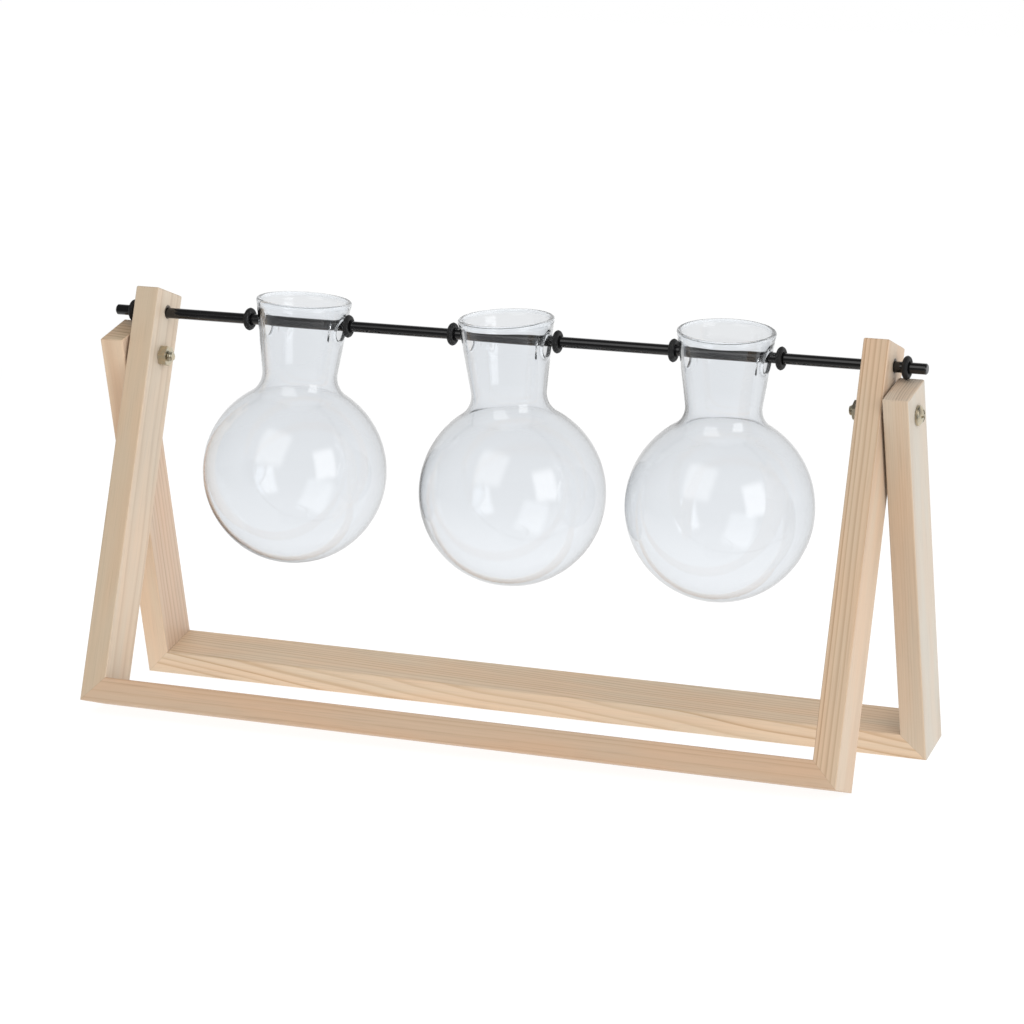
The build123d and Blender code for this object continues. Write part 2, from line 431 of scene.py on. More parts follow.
@dataclass(frozen=True)
class PineFinish:
    """Planed, unvarnished pine, as a solid figure that runs through each stick.

    The season is how much latewood each part of a year's ring holds. Where the drill came through around
    the rod, the fibres are torn and pale, and a dark ring painted at the edge stands for the shade in the
    hole.
    """

    drift: Noise = Noise((0.012, 0.05, 0.05), 1.0)
    growth: Noise = Noise((0.4, 0.4, 0.4), 1.0)
    growth_years: float = 2.6
    season: tuple[Span, ...] = (
        (0.0, 0.5), (0.08, 0.04), (0.45, 0.06), (0.72, 0.4), (0.88, 1.0), (0.97, 0.95)
    )
    faintest_ring: float = 0.4
    fibre: Noise = Noise((0.025, 1.7, 1.7), 3.0)
    fibre_depth: float = 0.07
    fleck: Noise = Noise((0.05, 2.6, 2.6), 2.0, 9.0)
    fleck_range: Span = (0.56, 0.7)
    fleck_depth: float = 0.09
    tone: Noise = Noise((0.02, 0.12, 0.12), 1.0, 3.0)
    tone_range: Span = (0.3, 0.7)
    warm: Colour = (1.02, 0.985, 0.95, 1.0)
    cool: Colour = (0.97, 1.01, 1.03, 1.0)
    facing_range: Span = (0.6, 0.95)
    end_line_depth: float = 0.35
    seam_mm: float = 0.28
    seam_shade: float = 0.87
    roughness: Span = (0.42, 0.58)
    ring_relief: float = 0.5
    relief_strength: float = 0.35
    relief_mm: float = 0.05
    rod_hole_height: float = 17.0
    tear: Noise = Noise((0.5, 2.0, 1.2), 3.0, 5.0)
    hole_rims_and_shade: tuple[HoleRim, ...] = (
        HoleRim(ragged=2.4, fade=(0.9, 1.9), strength=0.5, colour=srgb(232, 214, 186)),
        # painted shade of the hole's gap round the rod, as a dark brown ring
        HoleRim(ragged=0.9, fade=(1.9, 2.5), strength=0.9, colour=srgb(46, 36, 28)),
    )

    def facing(self, graph: Graph, spot: bpy.types.Node, axis: Sequence[float]) -> Socket:
        """Return 1 on the sides of the stick that face along an axis, either way, and 0 on the others."""
        along = graph.measure("DOT_PRODUCT", spot.outputs["Normal"], axis)
        return graph.step(graph.math("ABSOLUTE", along), *self.facing_range)

    def rings(self, graph: Graph, grain: Socket, figure: PineFigure) -> Socket:
        """Draw the annual rings.

        Args:
            graph: The stick's graph.
            grain: The place in the stick: along, across and through, in millimetres.
            figure: The stick's grain.

        Returns:
            How much of the wood here is latewood, from 0 to 1.
        """
        drift = graph.noise(grain, self.drift, figure.seed).node.outputs["Color"]
        shift_across, shift_through, _ = graph.split(drift)
        along, across, through = graph.split(grain)
        across = graph.line(shift_across, 2 * figure.wander, across)
        through = graph.line(shift_through, 2 * figure.wander, through)
        through = graph.line(along, figure.slant, through)
        away = [graph.math("SUBTRACT", spot, heart) for spot, heart in zip((across, through), figure.pith)]
        radius = graph.measure("LENGTH", graph.combine(*away, 0.0))
        radius = graph.line(along, figure.taper, radius)
        years = graph.math("DIVIDE", radius, figure.ring_spacing)
        growth = graph.noise(graph.combine(years, figure.seed, 0.0), self.growth)
        years = graph.line(growth, self.growth_years, years)
        year = graph.math("FLOOR", years)
        vigour = graph.node("ShaderNodeTexWhiteNoise", {"W": year}, noise_dimensions="1D").outputs["Value"]
        latewood = graph.ramp(graph.math("FRACT", years), self.season)
        return graph.math("MULTIPLY", latewood, graph.between(vigour, self.faintest_ring, 1.0))

    def material(self, stick: Stick, timber: TimberFrame) -> Material:
        """Make the finish of one stick.

        Args:
            stick: The stick.
            timber: The frame that it belongs to.

        Returns:
            The material.
        """
        graph, material = Graph.of_material(f"pine_{stick.node}")
        figure = stick.figure
        lean = math.radians(timber.lean)
        spot = graph.node("ShaderNodeTexCoord")
        place = {"Vector": spot.outputs["Object"], "Location": joint_place("frame_fold") * MM}
        place |= {"Rotation": (lean, 0.0, 0.0), "Scale": (MM, MM, MM)}
        laid = graph.node("ShaderNodeMapping", place, vector_type="TEXTURE")
        x, through, z = graph.split(laid.outputs[0])
        run, over = (z, x) if stick.run is Run.UPRIGHT else (x, z)
        grain = graph.combine(run, graph.math("SUBTRACT", over, stick.middle), through)

        latewood = self.rings(graph, grain, figure)
        on_end = on_broad = self.facing(graph, spot, (1.0, 0.0, 0.0))
        if stick.run is Run.UPRIGHT:
            on_end = self.facing(graph, spot, (0.0, -math.sin(lean), math.cos(lean)))
        lines = graph.line(on_broad, figure.contrast * (figure.broad_lines - 1), figure.contrast)
        colour = graph.mix(graph.math("MULTIPLY", latewood, lines), figure.sapwood, figure.latewood)
        kinds = (self.fibre, self.fleck, self.tone)
        fibre, fleck, tone = (graph.noise(grain, kind, figure.seed) for kind in kinds)
        colour = graph.scale(colour, graph.around(fibre, self.fibre_depth))
        colour = graph.scale(colour, graph.step(fleck, *self.fleck_range, 1.0, 1 - self.fleck_depth))
        tint = graph.mix(graph.step(tone, *self.tone_range), self.warm, self.cool)
        colour = graph.mix(1.0, colour, tint, "MULTIPLY")
        # the broad sides' tint is partly the wood's own tone and partly painted sheen and painted light;
        # the ends' tint is the end grain's colour
        for there, tint in ((on_broad, figure.broad_tone_and_sheen), (on_end, figure.ends)):
            colour = graph.mix(there, colour, graph.mix(1.0, colour, tint, "MULTIPLY"))
        end_lines = graph.math("MULTIPLY", on_end, latewood)
        colour = graph.scale(colour, graph.line(end_lines, -self.end_line_depth, 1.0))

        below_corner = graph.math("ADD", z, timber.foot - timber.half_width)
        joint = graph.math("ABSOLUTE", graph.math("ADD", graph.math("ABSOLUTE", x), below_corner))
        colour = graph.scale(colour, graph.step(joint, 0.0, self.seam_mm, self.seam_shade, 1.0))
        if stick.rod_hole:
            colour = self.torn_fibres_and_painted_shade(graph, grain, colour)
        relief = graph.line(latewood, self.ring_relief, fibre)
        graph.surface(
            {
                "Base Color": colour,
                "Roughness": graph.between(fibre, *self.roughness),
                "Normal": graph.bump(relief, self.relief_strength, self.relief_mm),
            }
        )
        return material

    def torn_fibres_and_painted_shade(self, graph: Graph, grain: Socket, colour: Socket) -> Socket:
        """Stain the wood pale with torn fibres round the rod's hole, and paint the hole's shade round it as
        a dark ring.

        Args:
            graph: The stick's graph.
            grain: The place in the stick.
            colour: The wood's colour.

        Returns:
            The colour with the torn fibres and the painted shade round the hole.
        """
        along, _, through = graph.split(grain)
        above_hole = graph.math("SUBTRACT", along, self.rod_hole_height)
        away = graph.measure("LENGTH", graph.combine(above_hole, through, 0.0))
        tear = graph.noise(grain, self.tear)
        for rim in self.hole_rims_and_shade:
            reach = graph.line(tear, -rim.ragged, away)
            colour = graph.mix(graph.step(reach, *rim.fade, rim.strength, 0.0), colour, rim.colour)
        return colour


@dataclass(frozen=True)
class Timber:
    """The stand's two frames. Their sticks are the CAD solids, dressed one by one."""

    front: TimberFrame = TimberFrame(
        "front",
        lean=-17.0,
        half_width=150.0,
        foot=134.5,
        left=PineFigure(
            pith=(4, 60), ring_spacing=6.5, contrast=0.5, wander=3.0, slant=0.02, seed=1.0,
            sapwood=srgb(194, 173, 148), latewood=srgb(168, 141, 112),
            # painted light and sheen on this leg's broad sides, lighter and bluer, partly its own tone
            broad_tone_and_sheen=(1.18, 1.24, 1.36, 1.0),
        ),
        right=PineFigure(
            pith=(-46, 6), ring_spacing=1.85, contrast=1.0, wander=0.7, seed=2.0,
            sapwood=srgb(202, 175, 147), latewood=srgb(168, 135, 104),
            # painted sheen on this leg's broad sides, a little paler and bluer, partly its own tone
            broad_tone_and_sheen=(0.995, 1.045, 1.13, 1.0), broad_lines=0.35,
        ),
        rail=PineFigure(
            pith=(-52, 9), ring_spacing=2.0, contrast=0.6, wander=0.8, seed=3.0,
            sapwood=srgb(195, 166, 139), latewood=srgb(171, 139, 108),
        ),
        holds_rod=True,
    )
    rear: TimberFrame = TimberFrame(
        "rear",
        lean=15.2,
        half_width=160.5,
        foot=133.58,
        left=PineFigure(
            pith=(5, 62), ring_spacing=2.6, contrast=0.8, wander=1.3, seed=4.0,
            sapwood=srgb(212, 185, 157), latewood=srgb(183, 148, 118),
            # painted shade on this leg's broad sides, a little darker, partly its own tone
            broad_tone_and_sheen=(0.907, 0.921, 0.99, 1.0), ends=(0.755, 0.745, 0.68, 1.0),
        ),
        right=PineFigure(
            pith=(150, 3), ring_spacing=0.95, contrast=0.28, wander=0.6, seed=5.0,
            sapwood=srgb(198, 176, 152), latewood=srgb(170, 140, 112),
            # painted sheen on this leg's broad sides, paler and bluer, partly its own tone
            broad_tone_and_sheen=(0.95, 1.09, 1.27, 1.0), ends=(1.0, 1.04, 1.11, 1.0),
        ),
        rail=PineFigure(
            pith=(30, 52), ring_spacing=1.7, contrast=0.9, slant=0.06, seed=6.0,
            sapwood=srgb(214, 190, 163), latewood=srgb(182, 150, 115),
        ),
    )
    finish: PineFinish = PineFinish()

    def dress(self) -> None:
        """Dress every stick in its own figure of pine."""
        for timber in (self.front, self.rear):
            for stick in timber.sticks():
                dress_node(stick.node, self.finish.material(stick, timber))


@dataclass(frozen=True)
class GlassFinish:
    """Clear blown glass: smooth, faintly wavy and a little cool. Where it was worked it is less clear."""

    name: str
    clearness: float
    tint: Colour = (0.962, 0.98, 1.0, 1.0)
    index: float = 1.5
    waves: Noise = Noise((0.10, 0.10, 0.05), 1.0)
    wave_strength: float = 0.3
    wave_mm: float = 0.05
    film: Noise = Noise((0.05, 0.05, 0.08), 3.0, 4.0)
    film_range: Span = (0.45, 0.8)
    film_roughness: float = 0.03

    def material(self) -> Material:
        """Make the finish.

        Returns:
            The material.
        """
        graph, material = Graph.of_material(self.name)
        spot = graph.object_mm()
        film = graph.step(graph.noise(spot, self.film), *self.film_range, 0.0, self.film_roughness)
        graph.surface(
            {
                "Base Color": self.tint,
                "Transmission Weight": self.clearness,
                "IOR": self.index,
                "Roughness": film,
                "Normal": graph.bump(graph.noise(spot, self.waves), self.wave_strength, self.wave_mm),
            }
        )
        return material


@dataclass
class GlassFlask:
    """One blown flask, hung on the rod by a hole through each side of its neck.

    Heights are from the rim along the flask's own axis. The wall share is 0 on the outside of the glass
    and 1 on its inside.
    """

    node: str
    along_rod: float
    lean: float
    swing: float
    rod_below_rim: float
    seed: float
    globe_diameter: float = 69.9
    height: float = 101.4
    mouth_diameter: float = 36.0
    neck_diameter: float = 26.6
    shoulder_radius: float = 9.2
    wall: float = 1.2
    globe_wall: float = 0.7
    bead_radius: float = 0.85
    bead_reach: float = 2.6
    hole_radius: float = 3.9
    hole_below_rod: float = 1.8
    hole_round: float = 0.7
    hole_swell: float = 0.2
    swell_reach: float = 1.6
    out_of_round: float = 0.12
    twist_height: float = 31.0
    ripple_height: float = 9.0
    round_within: float = 12.0
    columns: int = 144
    patch_half_columns: int = 10
    patch_half_height: float = 7.2
    patch_rows: int = 20
    patch_rings: int = 7
    patch_crowding: float = 1.25
    rim_steps: int = 8
    lip_steps: int = 14
    shoulder_steps: int = 12
    globe_steps: int = 84
    thinning_steps: int = 40
    below_patch_steps: int = 8
    above_patch_steps: int = 5
    surface: Surface = field(default_factory=Surface)
    worked: list[int] = field(default_factory=list)

    @property
    def globe_centre(self) -> float:
        """The height of the globe's centre."""
        return self.globe_diameter / 2 - self.height

    @property
    def neck_slope(self) -> float:
        """How much the neck's radius grows with each millimetre of height."""
        rise = math.sqrt((self.globe_diameter / 2) ** 2 - (self.neck_diameter / 2) ** 2)
        return (self.neck_diameter - self.mouth_diameter) / 2 / (self.globe_centre + rise)

    def cone_radius(self, height: float, share: float) -> float:
        """Return the radius of the neck's cone at a height and a share of the wall."""
        inset = share * self.wall * math.hypot(1, self.neck_slope)
        return self.mouth_diameter / 2 - inset + self.neck_slope * height

    def neck_radius(self, height: float, share: float) -> float:
        """Find the neck's radius, which grows into the lip's bead.

        Args:
            height: The height from the rim.
            share: The share of the wall.

        Returns:
            The radius.
        """
        cone = self.cone_radius(height, share)
        bead = self.mouth_diameter / 2 - 2 * share * self.bead_radius
        part = (height + self.bead_reach) / (self.bead_reach - self.bead_radius)
        return cone + (bead - cone) * ease(part)

    def point(self, angle: float, radius: float, height: float, share: float) -> Vector:
        """Place a point of the glass, a little out of round as blown glass is.

        Args:
            angle: The angle about the flask's axis.
            radius: The true radius.
            height: The height from the rim.
            share: The share of the wall.

        Returns:
            The point in the flask's own frame.
        """
        turn = self.seed + height / self.twist_height
        oval = math.cos(2 * angle + turn) + 0.6 * math.cos(3 * angle - 2 * turn)
        ripple = 2 * angle - turn + height / self.ripple_height
        thin = math.cos(angle + 2.1 * turn) + 0.7 * math.sin(ripple)
        amount = self.out_of_round * min(1.0, radius / self.round_within)
        grown = radius + amount * (oval + share * thin)
        return polar(angle, grown, height)

    def lower_rows(self, share: float) -> list[tuple[float, float]]:
        """Trace the shoulder and the globe from the end of the neck's cone down to near the base.

        Args:
            share: 0 for the outside or 1 for the inside.

        Returns:
            Radius and height of each row.
        """
        inset = share * self.wall
        slope, length = self.neck_slope, math.hypot(1, self.neck_slope)
        globe, bend = self.globe_diameter / 2 - inset, self.shoulder_radius + inset
        middle = self.globe_centre
        foot = self.cone_radius(0, share) + bend * length
        a = 1 + slope**2
        b = slope * foot - middle
        c = foot**2 + middle**2 - (globe + bend) ** 2
        bend_z = (math.sqrt(b**2 - a * c) - b) / a
        bend_r = foot + slope * bend_z
        start = math.pi - math.atan(slope)
        end = math.atan2(middle - bend_z, -bend_r) + 2 * math.pi
        rows = []
        for i in range(self.shoulder_steps):
            angle = start + (end - start) * i / self.shoulder_steps
            rows.append((bend_r + bend * math.cos(angle), bend_z + bend * math.sin(angle)))
        top = math.atan2(bend_z - middle, bend_r)
        for i in range(self.globe_steps):
            angle = top - (top + math.pi / 2) * i / self.globe_steps
            radius = globe + share * (self.wall - self.globe_wall) * ease(i / self.thinning_steps)
            rows.append((radius * math.cos(angle), middle + radius * math.sin(angle)))
        return rows

    def neck_rows(self, share: float, start: float) -> tuple[list[tuple[float, float]], int]:
        """Trace the neck's cone from its lower end up to the lip.

        Args:
            share: 0 for the outside or 1 for the inside.
            start: The height where the cone begins.

        Returns:
            Radius and height of each row, and the number of the first row of the hole's patch.
        """
        bottom = -self.rod_below_rim - self.hole_below_rod - self.patch_half_height
        top = bottom + 2 * self.patch_half_height
        lower, upper = self.below_patch_steps, self.above_patch_steps
        below = [start + (bottom - start) * i / lower for i in range(1, lower)]
        patch = [bottom + (top - bottom) * i / self.patch_rows for i in range(self.patch_rows + 1)]
        above = [top - (self.bead_radius + top) * i / upper for i in range(1, upper + 1)]
        rows = [(self.neck_radius(height, share), height) for height in [*below, *patch, *above]]
        return rows, len(below)

    def lip_rows(self) -> list[tuple[float, float, float]]:
        """Round the lip's bead over from the outside to the inside.

        Returns:
            Radius, height and wall share of each row.
        """
        middle = self.mouth_diameter / 2 - self.bead_radius
        rows = []
        for i in range(1, self.lip_steps):
            angle = math.pi * i / self.lip_steps
            height = self.bead_radius * (math.sin(angle) - 1)
            rows.append((middle + self.bead_radius * math.cos(angle), height, i / self.lip_steps))
        return rows

    def hole_centre(self, side: Side) -> float:
        """Return the height of a hang hole's centre, level with the other in spite of the lean."""
        tilt = self.neck_radius(-self.rod_below_rim, 0.5) * math.tan(math.radians(self.lean))
        return -self.rod_below_rim - self.hole_below_rod - side.value * tilt

    def on_neck(self, side: Side, across: float, height: float, share: float, swell: float) -> Vector:
        """Place a point of the neck near a hang hole.

        Args:
            side: The hole's side.
            across: The distance across from the hole's centre line.
            height: The height from the rim.
            share: The share of the wall.
            swell: How far the glass is thickened here, on each face.

        Returns:
            The point in the flask's own frame.
        """
        radius = self.neck_radius(height, share) + swell * (1 - 2 * share)
        angle = math.asin(across / radius) + (0 if side is Side.RIGHT else math.pi)
        return self.point(angle, radius, height, share)

    def swell(self, away: float) -> float:
        """Return how far the glass is thickened at a distance from a hang hole's centre."""
        return self.hole_swell * math.exp(-(((away - self.hole_radius) / self.swell_reach) ** 2))

    def hole_loops(self, side: Side, edge: list[tuple[float, float]]) -> list[list[Vector]]:
        """Trace the loops from the edge of a hole's patch through the hole to the inside.

        Args:
            side: The hole's side.
            edge: Distance across and height of each point of the patch's outer edge.

        Returns:
            The loops between the outer edge and the same edge on the inside.
        """
        middle = self.hole_centre(side)
        turns = [math.atan2(height - middle, across) for across, height in edge]
        mouth = self.hole_radius + self.hole_round

        def ring(step: int, share: float) -> list[Vector]:
            """Trace one loop on a face of the glass.

            Args:
                step: The loop's number, from the hole's rounded rim to the patch's edge.
                share: 0 for the outside or 1 for the inside.

            Returns:
                The loop's points.
            """
            loop = []
            part = (step / self.patch_rings) ** self.patch_crowding
            for turn, (across, height) in zip(turns, edge):
                side_on = (1 - part) * mouth * math.cos(turn) + part * across
                up = (1 - part) * (middle + mouth * math.sin(turn)) + part * height
                away = math.hypot(side_on, up - middle)
                loop.append(self.on_neck(side, side_on, up, share, self.swell(away)))
            return loop

        def rim(step: int) -> list[Vector]:
            """Trace one loop of the rounded rim between the two faces.

            Args:
                step: The loop's number, from the outside to the inside.

            Returns:
                The loop's points.
            """
            angle = math.pi * step / self.rim_steps
            radius = self.hole_radius + self.hole_round * (1 - math.sin(angle))
            share = (1 - math.cos(angle)) / 2
            places = [(radius * math.cos(turn), middle + radius * math.sin(turn)) for turn in turns]
            return [self.on_neck(side, across, up, share, self.swell(radius)) for across, up in places]

        outside = [ring(step, 0) for step in range(self.patch_rings - 1, -1, -1)]
        inside = [ring(step, 1) for step in range(self.patch_rings)]
        return [*outside, *(rim(step) for step in range(1, self.rim_steps)), *inside]

    def patch_edge(self) -> list[tuple[int, int]]:
        """Walk round a hole's patch.

        Returns:
            Level and column of each point of its edge, from the lower left corner.
        """
        half, top = self.patch_half_columns, self.patch_rows
        return [
            *((0, column) for column in range(-half, half)),
            *((level, half) for level in range(top)),
            *((top, column) for column in range(half, -half, -1)),
            *((level, -half) for level in range(top, 0, -1)),
        ]

    def in_patch(self, column: float) -> bool:
        """Return whether a column lies inside either hole's patch."""
        apart = self.columns / 2
        return abs((column + apart / 2) % apart - apart / 2) < self.patch_half_columns

    def build(self) -> Piece:
        """Build the flask's closed shell and hang it on the rod.

        Returns:
            The flask's object.
        """
        outside, inside = (self.lower_rows(share) for share in (0, 1))
        outer_neck, first = self.neck_rows(0, outside[0][1])
        inner_neck, _ = self.neck_rows(1, inside[0][1])
        rows = [(radius, height, 0.0) for radius, height in [*reversed(outside), *outer_neck]]
        low = len(outside) + first
        rows += self.lip_rows()
        high = len(rows) + len(inner_neck) - 1 - first
        rows += [(radius, height, 1.0) for radius, height in [*reversed(inner_neck), *inside]]
        starts = (low, high - self.patch_rows)

        step = 2 * math.pi / self.columns
        grid: list[list[int | None]] = []
        for number, (radius, height, share) in enumerate(rows):
            holed = any(start < number < start + self.patch_rows for start in starts)
            line: list[int | None] = []
            for column in range(self.columns):
                if holed and self.in_patch(column):
                    line.append(None)
                else:
                    line += self.surface.add([self.point(column * step, radius, height, share)])
            grid.append(line)
        for number in range(len(rows) - 1):
            holed = any(start <= number < start + self.patch_rows for start in starts)
            for column in range(self.columns):
                if not (holed and self.in_patch(column + 0.5)):
                    after = (column + 1) % self.columns
                    lower, upper = grid[number], grid[number + 1]
                    if min(rows[number][1], rows[number + 1][1]) > -2 * self.bead_radius:
                        self.worked.append(len(self.surface.faces))
                    self.surface.faces.append([lower[column], lower[after], upper[after], upper[column]])

        for side in Side:
            centre = 0 if side is Side.RIGHT else self.columns // 2
            outer, inner, edge = [], [], []
            for level, column in self.patch_edge():
                outer.append(grid[low + level][(centre + column) % self.columns])
                inner.append(grid[high - level][(centre + column) % self.columns])
                radius, height, _ = rows[low + level]
                edge.append((radius * math.sin(column * step), height))
            loops = [outer, *(self.surface.add(loop) for loop in self.hole_loops(side, edge)), inner]
            for number, (one, other) in enumerate(zip(loops, loops[1:])):
                first_face = len(self.surface.faces)
                self.surface.bridge(one, other)
                if self.patch_rings <= number < self.patch_rings + self.rim_steps:
                    self.worked += range(first_face, len(self.surface.faces))

        self.surface.close(grid[0], self.point(0, 0, -self.height, 0))
        self.surface.close(grid[-1], self.point(0, 0, self.globe_wall - self.height, 1))
        rod = joint_place("rod_spin")
        place = Matrix.Translation((self.along_rod, rod.y, rod.z))
        place @= turned(self.swing, "X") @ turned(-self.lean, "Y")
        place @= Matrix.Translation((0, 0, self.rod_below_rim))
        return self.surface.make(f"{self.node}_glass", place)

    def dress(self, clear: Material, worked: Material) -> None:
        """Build the flask, dress its lip and hole rims apart, and hang it in its node's place.

        Args:
            clear: The finish of its walls.
            worked: The finish of its lip and its hole rims.
        """
        piece = self.build()
        piece.visible_shadow = False
        install(piece, self.node, self.node, clear)
        piece.data.materials.append(worked)
        for number in self.worked:
            piece.data.polygons[number].material_index = 1


@dataclass(frozen=True)
class CoatFinish:
    """A coat of one colour that shifts to another in soft patches, with fine marks in its gloss and relief.

    The roughness goes from its first value to its second with the marks.
    """

    name: str
    body: Colour
    other: Colour
    patches: Noise
    patch_range: Span
    marks: Noise
    roughness: Span
    relief_strength: float
    relief_mm: float
    metallic: float = 0.0
    specular: float = 0.5

    def material(self) -> Material:
        """Make the finish.

        Returns:
            The material.
        """
        graph, material = Graph.of_material(self.name)
        spot = graph.object_mm()
        patches = graph.step(graph.noise(spot, self.patches), *self.patch_range)
        marks = graph.noise(spot, self.marks)
        graph.surface(
            {
                "Base Color": graph.mix(patches, self.body, self.other),
                "Metallic": self.metallic,
                "Roughness": graph.between(marks, *self.roughness),
                "Specular IOR Level": self.specular,
                "Normal": graph.bump(marks, self.relief_strength, self.relief_mm),
            }
        )
        return material


@dataclass
class RubberRing:
    """One moulded rubber ring on the rod, with the thin line where its mould parted."""

    node: str
    tilt: float
    rod_radius: float = 2.05
    section: float = 2.2
    flash_height: float = 0.07
    flash_angle: float = 7.0
    turns: int = 96
    section_steps: int = 40

    def build(self) -> Piece:
        """Build the ring round the rod.

        Returns:
            The ring's object.
        """
        surface = Surface()
        tube = self.section / 2
        middle = self.rod_radius + tube
        loops = []
        for turn in range(self.turns):
            angle = 2 * math.pi * turn / self.turns
            loop = []
            for number in range(self.section_steps):
                section = 2 * math.pi * number / self.section_steps
                from_seam = math.degrees(math.acos(max(-1.0, min(1.0, math.cos(section)))))
                swell = self.flash_height * math.exp(-((from_seam / self.flash_angle) ** 2))
                radius = middle + (tube + swell) * math.cos(section)
                loop.append(
                    Vector((tube * math.sin(section), radius * math.cos(angle), radius * math.sin(angle)))
                )
            loops.append(surface.add(loop))
        for one, other in zip(loops, [*loops[1:], loops[0]]):
            surface.bridge(one, other)
        low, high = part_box(self.node)
        centre = (low + high) / 2 / MM
        place = Matrix.Translation(centre) @ turned(self.tilt, "Z")
        return surface.make(f"{self.node}_moulded", place)

    def dress(self, material: Material) -> None:
        """Build the ring and put it in its node's place."""
        install(self.build(), self.node, self.node, material)


@dataclass
class PivotScrew:
    """A cross-recessed pan-head screw, drawn outwards from the front leg's inner face."""

    side: Side
    driven: float
    head_base: float = 20.2
    head_radius: float = 3.7
    head_side: float = 0.9
    head_height: float = 2.5
    shank_radius: float = 2.0
    thread_depth: float = 0.36
    thread_pitch: float = 0.7
    thread_top: float = 4.0
    end: float = -5.0
    end_taper: float = 0.6
    recess_half_span: float = 2.2
    recess_half_width: float = 0.55
    recess_depth: float = 1.35
    recess_floor_share: float = 0.62
    edge_round: float = 0.12
    dome_power: float = 2.2
    dome_rows: int = 9
    rows_per_turn: int = 12
    groove_slope: float = 2.6
    crest_flat: float = 0.15
    taper_slope: float = 0.8
    floor_dip: float = 0.3
    sharp_angle: float = 35.0
    inner_half: float = 140.4
    lean: float = -17.0

    @property
    def node(self) -> str:
        """The screw's node."""
        return f"pivot_screw_{self.side.name.lower()}"

    def angles(self) -> list[float]:
        """Set out the points round the screw, closer together at the corners of the recess.

        Returns:
            The angle of each point of a loop.
        """
        corner = math.degrees(math.atan2(self.recess_half_width, self.recess_half_span))
        eighth = [0, corner / 2, corner - 1, corner + 1, corner + 4, corner + 9, corner + 16, 39, 43]
        quarter = [*eighth, 45, *(90 - angle for angle in reversed(eighth[1:]))]
        return [math.radians(start + angle) for start in (0, 90, 180, 270) for angle in quarter]

    def recess_reach(self, angle: float) -> float:
        """Return how far the cross reaches from its centre at an angle."""
        off = abs((angle + math.pi / 4) % (math.pi / 2) - math.pi / 4)
        return min(self.recess_half_span / math.cos(off), self.recess_half_width / max(math.sin(off), 1e-6))

    def dome(self, radius: float) -> float:
        """Return the head's height at a radius."""
        fall = self.head_height - self.head_side
        return self.head_base + self.head_height - fall * (radius / self.head_radius) ** self.dome_power

    def thread_radius(self, angle: float, height: float) -> float:
        """Return the shank's radius at an angle and height, with its thread near the end.

        Args:
            angle: The angle about the screw.
            height: The height along the screw.

        Returns:
            The radius.
        """
        turn = (height / self.thread_pitch - angle / (2 * math.pi)) % 1
        groove = min(1.0, max(0.0, self.groove_slope * abs(turn - 0.5) - self.crest_flat))
        fade = min(1.0, max(0.0, (self.thread_top - height) / self.thread_pitch))
        taper = max(0.0, self.end + self.end_taper - height)
        return self.shank_radius - self.thread_depth * groove * fade - self.taper_slope * taper

    def build(self) -> Piece:
        """Build the screw from its end to the floor of its recess.

        Returns:
            The screw's object.
        """
        surface = Surface()
        angles = self.angles()

        def loop(reach: Sequence[float], heights: Sequence[float]) -> list[int]:
            """Add one loop of the screw from a radius and a height at each angle."""
            return surface.add(polar(a, r, z) for a, r, z in zip(angles, reach, heights))

        def level(radius: float, height: float) -> list[int]:
            """Add one round, level loop."""
            return loop([radius] * len(angles), [height] * len(angles))

        loops = []
        steps = round((self.thread_top - self.end) / self.thread_pitch * self.rows_per_turn)
        for step in range(steps + 1):
            height = self.end + (self.thread_top - self.end) * step / steps
            loops.append(loop([self.thread_radius(a, height) for a in angles], [height] * len(angles)))
        surface.close(loops[0], Vector((0, 0, self.end)))
        head, rim = self.head_radius, self.edge_round
        loops.append(level(self.shank_radius, self.head_base))
        loops.append(level(head - rim, self.head_base))
        loops.append(level(head, self.head_base + rim))
        loops.append(level(head, self.head_base + self.head_side - rim))
        cross = [self.recess_reach(angle) for angle in angles]
        for step in range(self.dome_rows + 1):
            share = step / self.dome_rows
            reach = [(1 - share) * (head - rim / 2) + share * (c + rim) for c in cross]
            loops.append(loop(reach, [self.dome(r) for r in reach]))
        loops.append(loop(cross, [self.dome(c) - 0.6 * rim for c in cross]))
        floor = self.head_base + self.head_height - self.recess_depth
        loops.append(loop([c * self.recess_floor_share for c in cross], [floor] * len(angles)))
        for one, other in zip(loops, loops[1:]):
            surface.bridge(one, other)
        surface.close(loops[-1], Vector((0, 0, floor - self.floor_dip)))
        place = Matrix.Translation(joint_place("frame_fold")) @ turned(self.lean, "X")
        place @= Matrix.Translation((self.side.value * self.inner_half, 0, 0))
        place @= turned(self.side.value * 90.0, "Y") @ turned(self.driven, "Z")
        return surface.make(f"{self.node}_threaded", place, self.sharp_angle)

    def dress(self, material: Material) -> None:
        """Build the screw and put it in its node's place."""
        install(self.build(), "front_frame", self.node, material)


